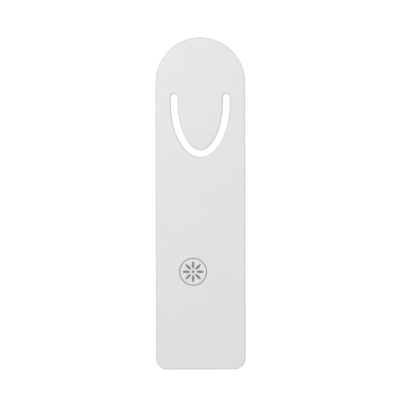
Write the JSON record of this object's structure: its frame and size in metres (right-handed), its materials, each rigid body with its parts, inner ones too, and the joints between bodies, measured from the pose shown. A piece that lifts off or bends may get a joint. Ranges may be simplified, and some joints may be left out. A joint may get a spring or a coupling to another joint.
{
  "type": "page-clip bookmark",
  "caption": "Flat leatherette bookmark with a rounded head and a springy tongue, cut free by a U-shaped slot, that clips over a page.",
  "frame": {"origin": "under the middle of the sheet's length and width, on the back face that lies on the table", "axes": "+X across the sheet, to the right seen from the front; +Y along the sheet towards the rounded head; +Z out of the stamped front face"},
  "size_m": [0.04, 0.148, 0.0015],
  "materials": {
    "white_leatherette": "matt, very fine grain",
    "white_lining": "matt, soft nap",
    "edge_paint": "satin, smooth",
    "grey_foil": "satin pigment foil",
    "stiffener": "matt fibre board",
    "adhesive": "tacky film"
  },
  "bodies": {
    "sheet": {"front_cover": "white_leatherette", "front_adhesive_film": "adhesive", "stiffener_board": "stiffener", "back_adhesive_film": "adhesive", "back_cover": "white_lining", "outer_edge_coat": "edge_paint", "slot_edge_coat": "edge_paint", "stamped_rosette": "grey_foil"},
    "tongue": {"tongue_front_cover": "white_leatherette", "tongue_front_adhesive_film": "adhesive", "tongue_stiffener_board": "stiffener", "tongue_back_adhesive_film": "adhesive", "tongue_back_cover": "white_lining", "tongue_edge_coat": "edge_paint"}
  },
  "joints": [
    {"name": "tongue_lift", "type": "hinge", "parent": "sheet", "child": "tongue", "pos_m": [0, 0.04435, 0.00075], "axis": [-1, 0, 0], "range_deg": [0, 40], "stiffness_Nm_per_rad": 0.008}
  ]
}
